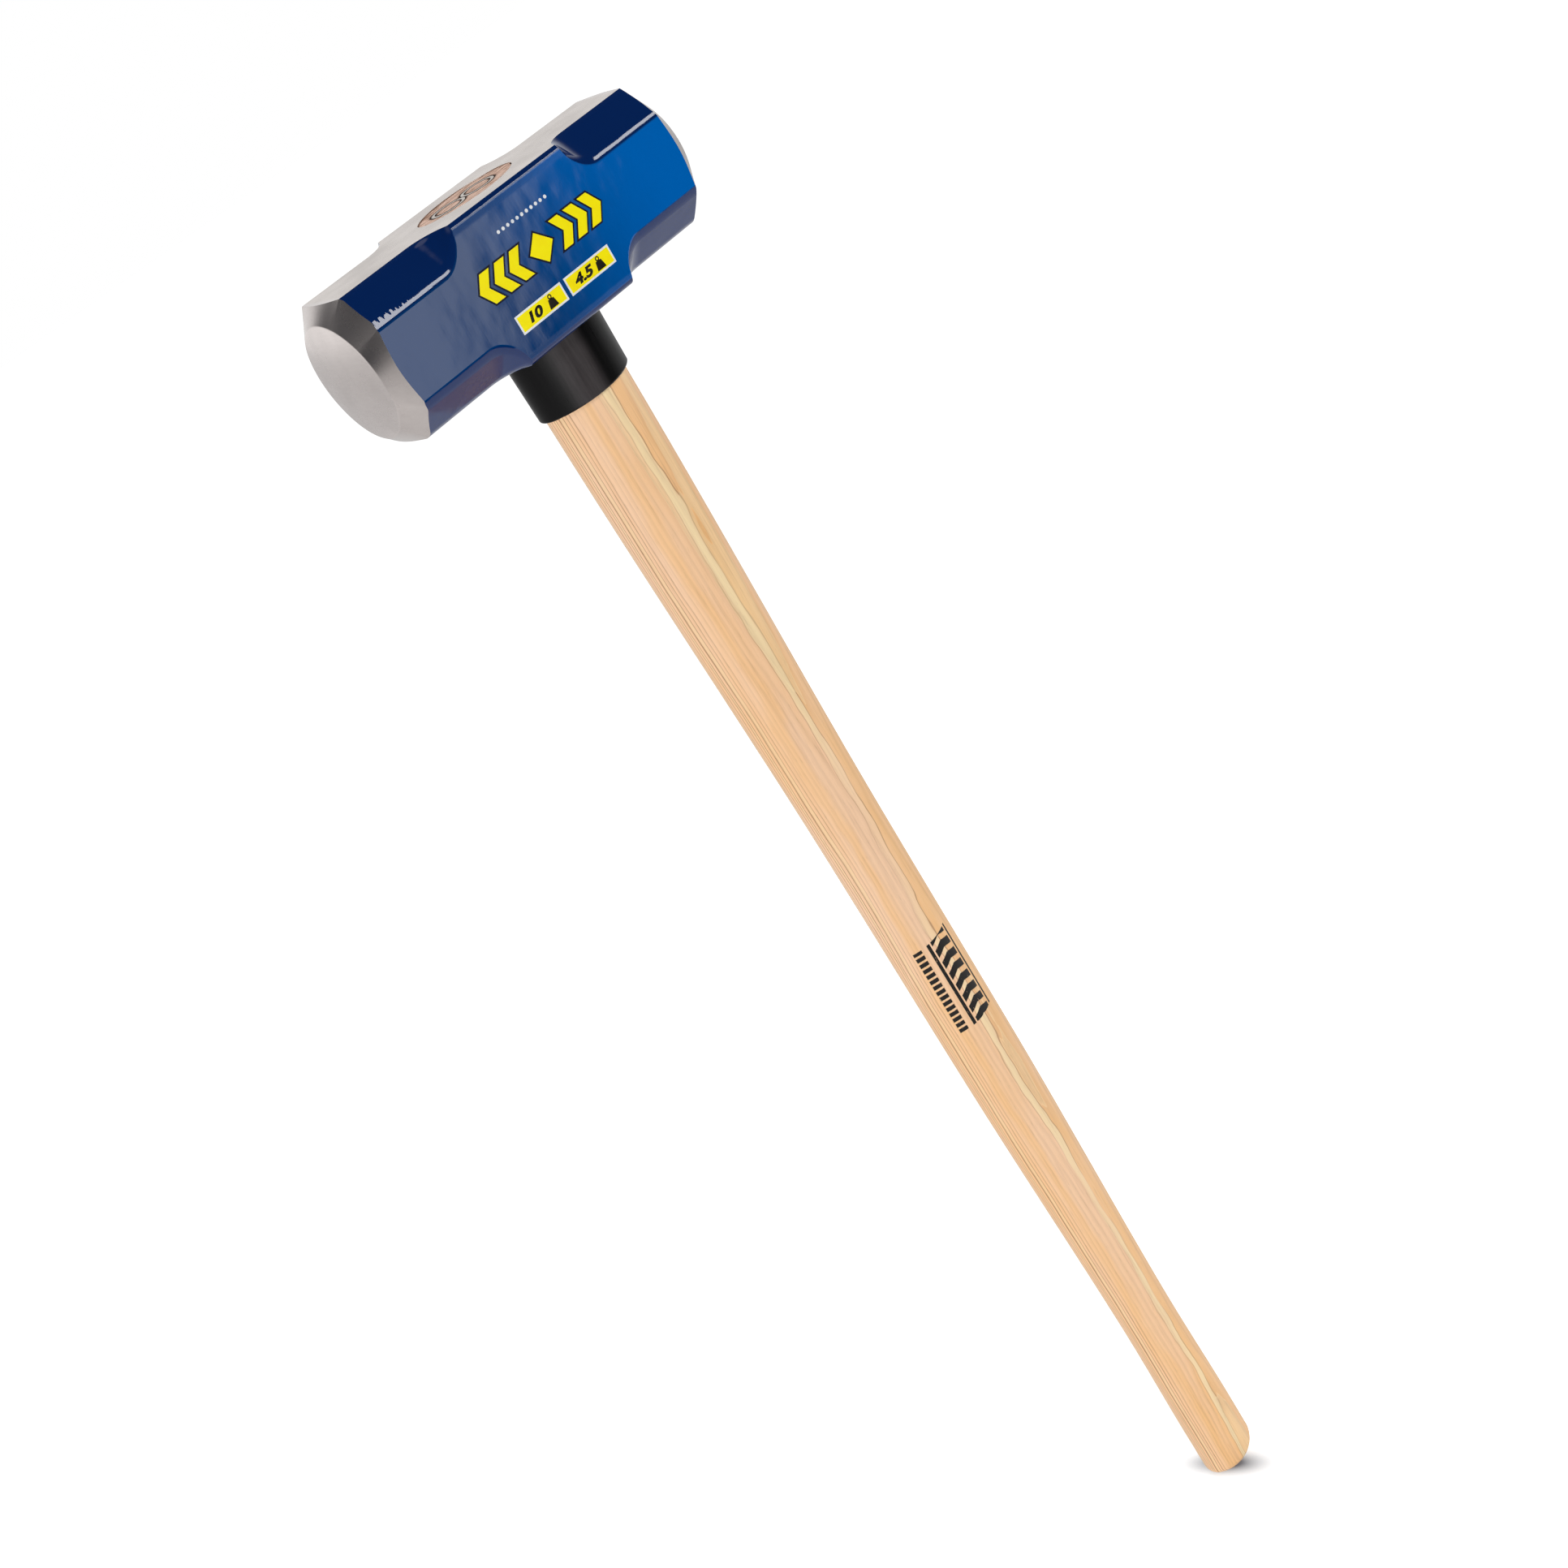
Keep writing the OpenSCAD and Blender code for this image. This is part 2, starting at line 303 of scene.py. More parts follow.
def groundForm():  # the shape of the two ground ends, wider than the bar between them
    size = headHigh - headLow
    faceAt = size.x / 2 - head["crown"]
    form = emptyMesh("groundForm")
    octagonRing(0, (head["formHalf"], head["formHalf"]), head["formLeg"])
    bpy.ops.mesh.delete(type="ONLY_FACE")
    bpy.ops.mesh.select_all(action="SELECT")
    bpy.ops.mesh.subdivide(number_cuts=11)
    bpy.ops.mesh.extrude_edges_move(TRANSFORM_OT_translate={"value": (0, 0, head["formAt"])})
    bpy.ops.mesh.extrude_edges_move(TRANSFORM_OT_translate={"value": (0, 0, faceAt - head["formAt"])})
    bpy.ops.transform.tosphere(value=1)
    mesh = bmesh.from_edit_mesh(form.data)
    reach = [vertex.co.xy.length for vertex in mesh.verts if vertex.select]
    radius = sum(reach) / len(reach)
    rings = head["capRings"]
    sphere = (head["faceRadius"] ** 2 + head["crown"] ** 2) / (2 * head["crown"])
    for ring in range(rings):
        if ring:
            bpy.ops.mesh.extrude_edges_move(TRANSFORM_OT_translate={"value": (0, 0, 0)})
        new = head["faceRadius"] * (1 - ring / rings)
        height = faceAt + math.sqrt(sphere ** 2 - new ** 2) - (sphere - head["crown"])
        bpy.ops.transform.resize(value=(new / radius, new / radius, 1), center_override=(0, 0, 0),
                                 constraint_axis=(True, True, False))
        mesh = bmesh.from_edit_mesh(form.data)
        now = next(vertex.co.z for vertex in mesh.verts if vertex.select)
        bpy.ops.transform.translate(value=(0, 0, height - now))
        radius = new
    bpy.ops.mesh.extrude_edges_move(TRANSFORM_OT_translate={"value": (0, 0, size.x / 2 - height)})
    bpy.ops.mesh.merge(type="CENTER")
    bevelRings(form, head["formAt"], faceAt)
    choose(form, "EDGE", lambda edge: all(
        abs(vertex.co.z - faceAt) < 0.01 * mm and abs(vertex.co.xy.length - head["faceRadius"]) < 0.01 * mm
        for vertex in edge.verts))
    bpy.ops.mesh.bevel(offset=head["faceEdge"], segments=4, affect="EDGES")
    editOff()
    shape(form, "MIRROR", use_axis=(False, False, True), merge_threshold=0.01 * mm)
    tidyNormals(form)
    return form


def dressSides(bar):
    flat = (headHigh.y - headLow.y) / 2
    editOn(bar)
    for side in (-1, 1):
        bpy.ops.mesh.select_all(action="SELECT")
        bpy.ops.mesh.bisect(plane_co=(0, side * flat, 0), plane_no=(0, side, 0), use_fill=True,
                            clear_outer=True, threshold=0.001 * mm)
    editOff()


def eyeTool():
    size = headHigh - headLow
    over = 1 * mm
    slope = eyeHole["flare"] / size.z
    tool = emptyMesh("eyeTool")
    low = (eyeHole["halfX"] - slope * over, eyeHole["halfY"] - slope * over)
    high = (eyeHole["halfX"] + slope * (size.z + over), eyeHole["halfY"] + slope * (size.z + over))
    ovalRing(headLow.z - over, low[0], low[1], eyeHole["endRadius"])
    growRing(low, high, size.z + 2 * over)
    bpy.ops.mesh.select_all(action="SELECT")
    bpy.ops.mesh.fill_holes(sides=0)
    editOff()
    tidyNormals(tool)
    return tool


def makeHead(paint, steel):
    print("head: forging the bar")
    bar = forgeBar()
    print("head: grinding the ends")
    form = groundForm()
    dressSides(bar)
    giveMaterials(bar, paint, steel)
    giveMaterials(form, steel)
    carve(bar, form, "INTERSECT", material_mode="TRANSFER")
    bar.rotation_euler = (0, math.pi / 2, 0)
    settle(bar)
    bar.location = headMiddle
    settle(bar)
    print("head: grinding the top, opening the eye")
    editOn(bar)
    bpy.ops.mesh.select_all(action="SELECT")
    bpy.ops.mesh.bisect(plane_co=(0, 0, headHigh.z), plane_no=(0, 0, 1), use_fill=True,
                        clear_outer=True, threshold=0.001 * mm)
    choose(bar, "FACE", lambda face: face.normal.z > 0.999
           and face.calc_center_median().z > headHigh.z - 0.01 * mm)
    bar.active_material_index = 1
    bpy.ops.object.material_slot_assign()
    editOff()
    tool = eyeTool()
    giveMaterials(tool, steel)
    carve(bar, tool, material_mode="TRANSFER")
    tidyNormals(bar, 0.0005 * mm)
    smoothShade(bar, 11)
    print("head:", len(bar.data.polygons), "faces", [m.name for m in bar.data.materials])
    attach(bar, "root")
    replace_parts(bar, "head")
    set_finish(bar, "head_paint")


# handle

handle = {
    "stations": [  # height, half sizes
        (0 * mm, 19.9 * mm, 14.4 * mm), (34 * mm, 19.9 * mm, 14.4 * mm), (154 * mm, 18.4 * mm, 13.3 * mm),
        (384 * mm, 20.4 * mm, 14.3 * mm), (557.5 * mm, 19.9 * mm, 13.9 * mm),
        (807.5 * mm, 22.65 * mm, 15.75 * mm), (850.5 * mm, 22.65 * mm, 15.75 * mm),
    ],
    "endRadius": 9.75 * mm,    # of the ends of the neck's oval
    "buttRound": 8.5 * mm,
    "buttRings": 8,
    "step": 18 * mm,
    "gap": 0.3 * mm,           # shadow line around the wood in the eye
    "topRound": 0.5 * mm,
}
wedges = {
    "kerfDepth": 44 * mm, "kerfTop": 5 * mm, "kerfTip": 1.2 * mm,
    "ringRadius": 8 * mm, "ringWall": 1.5 * mm, "ringEdge": 0.4 * mm, "ringLength": 20 * mm,
    "ringsAt": (-9.7 * mm, 6.9 * mm),
    "gap": 0.22 * mm,          # dark line between the driven metal and the wood
}


def halfSizes(z):
    stations = handle["stations"]
    for low, high in zip(stations, stations[1:]):
        if z <= high[0]:
            break
    share = blendStep(min(1, max(0, (z - low[0]) / (high[0] - low[0]))))
    return [low[i] + (high[i] - low[i]) * share for i in (1, 2)]


def kerfTool(piece):  # the sawn slot for the wooden wedge
    over = 1 * mm
    deselectAll()
    bpy.ops.mesh.primitive_cube_add(
        size=1, location=(0, 0, handleHigh.z - wedges["kerfDepth"] / 2 + over / 2),
        scale=(60 * mm, wedges["kerfTip"], wedges["kerfDepth"] + over))
    tool = named("kerfTool")
    settle(tool)
    editOn(tool)
    choose(tool, "VERT", lambda vertex: vertex.co.z > handleHigh.z)
    grow = wedges["kerfTop"] + (wedges["kerfTop"] - wedges["kerfTip"]) * over / wedges["kerfDepth"]
    bpy.ops.transform.resize(value=(1, grow / wedges["kerfTip"], 1), center_override=(0, 0, 0))
    editOff()
    carve(piece, tool)


def ringTool(piece, x):  # the groove that a ring wedge is driven into
    over = 1 * mm
    top = handleHigh.z
    deselectAll()
    bpy.ops.mesh.primitive_cylinder_add(
        vertices=64, radius=wedges["ringRadius"] + wedges["gap"], depth=wedges["ringLength"] + over,
        location=(x, 0, top - (wedges["ringLength"] - over) / 2))
    tool = named("ringTool")
    settle(tool)
    deselectAll()
    inner = wedges["ringRadius"] - wedges["ringWall"] - wedges["gap"]
    bpy.ops.mesh.primitive_cone_add(
        vertices=64, radius1=wedges["ringRadius"] - wedges["ringEdge"] - wedges["gap"], radius2=inner,
        depth=wedges["ringLength"] + 2 * over, location=(x, 0, top - wedges["ringLength"] / 2 + over / 2))
    core = bpy.context.object
    settle(core)
    carve(tool, core)
    carve(piece, tool)


def makeHandle(wood):
    print("handle: drawing the shaft up")
    piece = emptyMesh("hickoryHandle")
    underHead = headLow.z
    rise = handle["buttRound"]
    steps = handle["buttRings"]
    rings = [rise * (1 - math.cos(math.pi / 2 * i / steps)) for i in range(steps + 1)]
    count = math.ceil((underHead - rise) / handle["step"])
    rings += [rise + (underHead - rise) * (i + 1) / count for i in range(count)]

    def ringSize(z):
        sizes = halfSizes(z)
        inset = 0
        if z < rise:
            inset = rise - math.sqrt(rise ** 2 - (rise - z) ** 2)
        return [size - inset for size in sizes]

    neck = halfSizes(underHead)
    ovalRing(0, *neck, handle["endRadius"])
    old = ringSize(0)
    bpy.ops.transform.resize(value=(old[0] / neck[0], old[1] / neck[1], 1), center_override=(0, 0, 0))
    height = 0
    for z in rings[1:]:
        new = ringSize(z)
        growRing(old, new, z - height)
        old, height = new, z
    slope = eyeHole["flare"] / (headHigh.z - headLow.z)
    depth = handleHigh.z - underHead
    for part in (0.25, 0.5, 0.75, 1):
        new = [half + depth * part * slope - handle["gap"] * part
               for half in (eyeHole["halfX"], eyeHole["halfY"])]
        growRing(old, new, underHead + depth * part - height)
        old, height = new, underHead + depth * part
    bpy.ops.mesh.edge_face_add()
    bpy.ops.mesh.bevel(offset=handle["topRound"], segments=3, affect="EDGES")
    choose(piece, "EDGE", lambda edge: edge.is_boundary)
    bpy.ops.mesh.edge_face_add()
    editOff()
    tidyNormals(piece)
    print("handle: sawing the kerf and driving the grooves")
    kerfTool(piece)
    for x in wedges["ringsAt"]:
        ringTool(piece, x)
    smoothShade(piece, 30)
    giveMaterials(piece, wood)
    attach(piece, "root")
    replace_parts(piece, "handle")
    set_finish(piece, "hickory")


# overstrike collar

collar = {
    "wall": 2.3 * mm, "taper": 0.4 * mm, "clearance": 0.05 * mm,
    "rim": 1.1 * mm, "rimSteps": 5,     # rounding of the lower rim
}


def makeCollar(rubber):
    print("collar")
    piece = emptyMesh("overstrikeSleeve")
    neck = halfSizes(collarHigh.z)
    inner = [half + collar["clearance"] for half in neck]
    lower = [half + collar["wall"] for half in neck]
    upper = [half + collar["wall"] + collar["taper"] for half in neck]
    length = collarHigh.z - collarLow.z
    ovalRing(collarLow.z, *inner, handle["endRadius"] + collar["clearance"])
    growRing(inner, lower, 0)
    growRing(lower, upper, length)
    growRing(upper, inner, 0)
    growRing(inner, inner, -length)
    bpy.ops.mesh.select_all(action="SELECT")
    bpy.ops.mesh.remove_doubles(threshold=0.001 * mm)
    choose(piece, "EDGE", lambda edge: all(
        abs(vertex.co.z - collarLow.z) < 0.01 * mm for vertex in edge.verts)
        and edge.calc_face_angle(0) > 1 and edge.verts[0].co.xy.length > 17 * mm
        and abs(edge.verts[0].co.x) / lower[0] + abs(edge.verts[0].co.y) / lower[1] > 0.99)
    bpy.ops.mesh.bevel(offset=collar["rim"], segments=collar["rimSteps"], affect="EDGES", clamp_overlap=True)
    editOff()
    tidyNormals(piece)
    smoothShade(piece, 35)
    giveMaterials(piece, rubber)
    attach(piece, "root")
    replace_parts(piece, "overstrike_collar")
    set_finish(piece, "collar_rubber")


# materials: a sheet holds one node tree, a wire is one output in it

class Wire:
    def __init__(self, sheet, socket):
        self.sheet = sheet
        self.socket = socket

    def reckon(self, operation, first, second=0.0):
        return self.sheet.node("ShaderNodeMath", {"operation": operation}, {0: first, 1: second})

    def __add__(self, other):
        return self.reckon("ADD", self, other)

    def __radd__(self, other):
        return self.reckon("ADD", other, self)

    def __sub__(self, other):
        return self.reckon("SUBTRACT", self, other)

    def __rsub__(self, other):
        return self.reckon("SUBTRACT", other, self)

    def __mul__(self, other):
        return self.reckon("MULTIPLY", self, other)

    def __rmul__(self, other):
        return self.reckon("MULTIPLY", other, self)

    def __truediv__(self, other):
        return self.reckon("DIVIDE", self, other)

    def __abs__(self):
        return self.reckon("ABSOLUTE", self)

    def root(self):
        return self.reckon("SQRT", self)

    def whole(self):
        return self.reckon("FLOOR", self)

    def part(self):  # what is left after the whole number
        return self.reckon("FRACT", self)

    def least(self, other):
        return self.reckon("MINIMUM", self, other)

    def most(self, other):
        return self.reckon("MAXIMUM", self, other)

    def fade(self, start, end):  # 0 before start, 1 after end, smooth between
        return self.sheet.node(
            "ShaderNodeMapRange", {"interpolation_type": "SMOOTHSTEP"},
            {"Value": self, "From Min": start, "From Max": end})


class Sheet:
    def __init__(self, tree):
        self.tree = tree
        self.tree.nodes.clear()

    def node(self, kind, settings=None, sockets=None, out=0):
        made = self.tree.nodes.new(kind)
        for key, value in (settings or {}).items():
            setattr(made, key, value)
        for key, value in (sockets or {}).items():
            if isinstance(value, Wire):
                self.tree.links.new(value.socket, made.inputs[key])
            else:
                made.inputs[key].default_value = value
        return Wire(self, made.outputs[out]) if len(made.outputs) else None

    def objectPlace(self):
        return self.node("ShaderNodeTexCoord", out="Object")

    def split(self, vector):
        made = self.node("ShaderNodeSeparateXYZ", {}, {0: vector})
        return [Wire(self, made.socket.node.outputs[axis]) for axis in range(3)]

    def join(self, x, y, z):
        return self.node("ShaderNodeCombineXYZ", {}, {0: x, 1: y, 2: z})

    def placed(self, vector, scale, rotation=(0, 0, 0)):
        return self.node("ShaderNodeMapping", {}, {"Vector": vector, "Scale": scale, "Rotation": rotation})

    def noise(self, vector, scale, detail=2.0, roughness=0.5):
        return self.node("ShaderNodeTexNoise", {}, {
            "Vector": vector, "Scale": scale, "Detail": detail, "Roughness": roughness})

    def mix(self, first, second, share):
        return self.node("ShaderNodeMix", {"data_type": "RGBA"}, {0: share, 6: first, 7: second}, out=2)

    def bump(self, height, distance, strength=1.0, under=None):
        sockets = {"Height": height, "Distance": distance, "Strength": strength}
        if under:
            sockets["Normal"] = under
        return self.node("ShaderNodeBump", {}, sockets)

    def finish(self, sockets):
        shader = self.node("ShaderNodeBsdfPrincipled", {}, sockets)
        self.node("ShaderNodeOutputMaterial", {}, {"Surface": shader})


def newSheet(name):
    material = bpy.data.materials.new(name)
    material.use_nodes = True
    return material, Sheet(material.node_tree)


def tone(red, green, blue):  # a colour as a paint chart gives it, 0 to 255
    def linear(value):
        value /= 255
        return value / 12.92 if value <= 0.04045 else ((value + 0.055) / 1.055) ** 2.4
    return (linear(red), linear(green), linear(blue), 1)


# finishes

def band(value, low, high, soft):  # 1 between low and high, with soft ends
    return value.fade(low - soft, low + soft) * (1 - value.fade(high - soft, high + soft))


paint = {
    "flat": tone(0, 54, 108),       # the flats, lighter than the chamfers: painted light
    "deep": tone(0, 36, 92),        # navy of the chamfers, darker than the flats: painted shade
    "paintedReflection": tone(0, 98, 182),     # painted reflection of a light on the flats
    "paintedReflectionSpan": (-30 * mm, 66 * mm),    # along the head, where the painted reflection grows in
    "roughness": 0.07, "gloss": 0.5,
    "worn": 0.25,                   # roughness added along the block's long edges
    "teeth": (-80 * mm, -43 * mm),  # along the head, where paint has run over an edge
    "toothShort": 0.7 * mm, "toothLong": 2.4 * mm,
    "toothFacing": (0.916, 0.402),  # forwards and up
    "sag": 0.3 * mm, "peel": 0.005 * mm, "brushed": 0.008 * mm,
}


def bluePaint():
    material, sheet = newSheet("bluePaint")
    place = sheet.objectPlace()
    x, y, z = sheet.split(place)
    rise = z - headMiddle.z
    flatSide = abs(y).fade(31.45 * mm, 31.7 * mm)
    streaks = sheet.noise(sheet.placed(place, scale=(1100, 1100, 170)), 1.0, 3.0, 0.6)
    combs = sheet.noise(sheet.placed(place, scale=(650, 110, 110)), 1.0, 2.0, 0.6)
    drift = sheet.noise(sheet.placed(place, scale=(30, 30, 18)), 1.0, 2.0, 0.5) - 0.5
    along = x + (streaks - 0.5) * (12 * mm) + drift * (24 * mm) + rise * 0.2
    # painted reflection: the flats grow brighter along the head
    color = sheet.mix(paint["flat"], paint["paintedReflection"], along.fade(*paint["paintedReflectionSpan"]))
    # painted shade: the chamfers get the darker navy
    color = sheet.mix(paint["deep"], color, flatSide)
    teethFrom, teethTo = paint["teeth"]
    reach = combs.fade(0.38, 0.62) * paint["toothLong"] + paint["toothShort"]
    reach = reach * (1 - (x + drift * (16 * mm)).fade(teethFrom + 4 * mm, teethTo - mm))
    teeth = band(rise - head["flatHalf"], 0.1 * mm, reach, 0.1 * mm)
    teeth = teeth * band(x, teethFrom + 0.05 * mm, teethTo - 0.05 * mm, 0.05 * mm) * (1 - y.fade(0.0, mm))
    facing = sheet.split(sheet.node("ShaderNodeNewGeometry", out="Normal"))
    rest = 1 - teeth
    forwards, upwards = paint["toothFacing"]
    bent = sheet.join(
        facing[0] * rest, facing[1] * rest - teeth * forwards, facing[2] * rest + teeth * upwards)
    waves = sheet.noise(sheet.placed(place, scale=(60, 60, 40)), 1.0, 2.0, 0.5)
    relief = sheet.bump(waves, paint["sag"], 1.0, bent)
    relief = sheet.bump(sheet.noise(place, 1000.0, 2.0, 0.5), paint["peel"], 1.0, relief)
    relief = sheet.bump(streaks, paint["brushed"], 1.0, relief)
    nearEdge = abs(rise).fade(26 * mm, 28 * mm) * (1 - abs(x).fade(36 * mm, 42 * mm))
    worn = nearEdge * flatSide.fade(0.0, 0.01)
    sheet.finish({
        "Base Color": color, "Roughness": paint["roughness"] + worn * paint["worn"],
        "Specular IOR Level": paint["gloss"], "Normal": relief,
    })
    return material


steel = {
    "top": tone(188, 178, 171),
    "ends": tone(214, 206, 203),
    "dark": tone(132, 124, 120),
    "endsFrom": 78 * mm, "endsTo": 80 * mm,    # from the middle of the head
    # how much darker the bevel is painted, as painted shade
    "bevelPaintedShade": 0.3,
    "roughness": 0.27, "grind": 0.004 * mm,
    "wedgeBright": tone(238, 230, 220), "wedgeDark": tone(186, 176, 166),
}


def groundSteel():
    material, sheet = newSheet("groundSteel")
    place = sheet.objectPlace()
    x, y, z = sheet.split(place)
    rise = z - headMiddle.z
    lines = sheet.noise(sheet.placed(place, scale=(160, 2400, 2400)), 1.0, 3.0, 0.65)
    strokes = sheet.placed(place, scale=(500, 120, 1500), rotation=(0.6, 0, 0))
    strokes = sheet.noise(strokes, 1.0, 3.0, 0.65)
    blotch = sheet.noise(place, 45.0, 4.0, 0.6)
    atEnd = abs(x).fade(steel["endsFrom"], steel["endsTo"])
    grind = lines * (1 - atEnd) + strokes * atEnd
    color = sheet.mix(steel["top"], steel["ends"], atEnd)
    color = sheet.mix(color, steel["dark"], (blotch * 0.5 + grind * 0.2 - 0.27).most(0.0).least(1.0))
    reach = (y * y + rise * rise).root()
    bevelled = reach.fade(head["faceRadius"] - 0.5 * mm, head["faceRadius"] + 0.5 * mm) * atEnd
    # painted shade: the bevel made darker than the face
    color = sheet.mix(color, steel["dark"], bevelled * steel["bevelPaintedShade"])
    sheet.finish({
        "Base Color": color, "Metallic": 1.0, "Roughness": steel["roughness"] + (blotch - 0.5) * 0.12,
        "Normal": sheet.bump(grind, steel["grind"]),
    })
    return material


def wedgeSteel():
    material, sheet = newSheet("wedgeSteel")
    place = sheet.objectPlace()
    scratches = sheet.noise(sheet.placed(place, scale=(2600, 300, 300)), 1.0, 3.0, 0.65)
    sheet.finish({
        "Base Color": sheet.mix(steel["wedgeBright"], steel["wedgeDark"], scratches), "Metallic": 1.0,
        "Roughness": 0.3 + scratches * 0.15, "Normal": sheet.bump(scratches, 0.01 * mm),
    })
    return material


wood = {
    "pith": (-44 * mm, 164 * mm),       # where the middle of the tree lay
    "ring": 1.45 * mm,                  # width of a year
    "end": tone(246, 210, 190),         # end grain in the eye
    "darkAroundRing": tone(58, 40, 32),
    "pink": tone(254, 213, 176),
    "amber": tone(251, 198, 135),
    "straw": tone(255, 230, 182),
    "line": tone(156, 96, 52),
    "pore": tone(128, 84, 52),
    "butt": (20 * mm, 420 * mm),        # heights between which the warm butt fades out
    "gold": (-13 * mm, -9 * mm),        # bands on the front, running along the shaft
    "pale": (0.0, 4 * mm),
    "roughness": 0.45, "endRoughness": 0.85, "gloss": 0.25,
    "varnish": 0.3, "varnishRoughness": 0.2,
}
stamp = {  # black mark on the front of the handle
    "low": 424 * mm, "high": 484 * mm, "pitch": 8.4 * mm, "lean": 0.42,
    "markLow": -2.6 * mm, "markHigh": 9.4 * mm, "middle": 3.4 * mm,
    "rails": [(-5.4 * mm, -3.5 * mm), (10.4 * mm, 11.6 * mm)],
    "dashLow": -13.2 * mm, "dashHigh": -8.6 * mm, "dashPitch": 4.1 * mm,
    "ink": tone(14, 10, 9),
}


def stampMask(sheet, place, x, y, z):
    soft = 0.12 * mm
    rough = sheet.noise(place, 1500.0, 3.0, 0.6)
    u = z + (rough - 0.5) * (0.3 * mm)
    v = x + (rough - 0.5) * (0.3 * mm)
    chevrons = ((u + abs(v - stamp["middle"]) * stamp["lean"] - stamp["low"]) / stamp["pitch"]).part()
    mark = band(chevrons, 0.08, 0.68, 0.02) * band(v, stamp["markLow"], stamp["markHigh"], soft)
    for low, high in stamp["rails"]:
        mark = mark.most(band(v, low, high, soft))
    dashes = ((u - stamp["low"]) / stamp["dashPitch"]).part()
    dash = band(dashes, 0.1, 0.76, 0.03) * band(v, stamp["dashLow"], stamp["dashHigh"], soft)
    mark = mark.most(dash) * band(u, stamp["low"], stamp["high"], soft)
    worn = sheet.noise(sheet.placed(place, scale=(1800, 1800, 260)), 1.0, 3.0, 0.6).fade(0.22, 0.34)
    return mark * worn * (1 - y.fade(-7 * mm, -6 * mm))


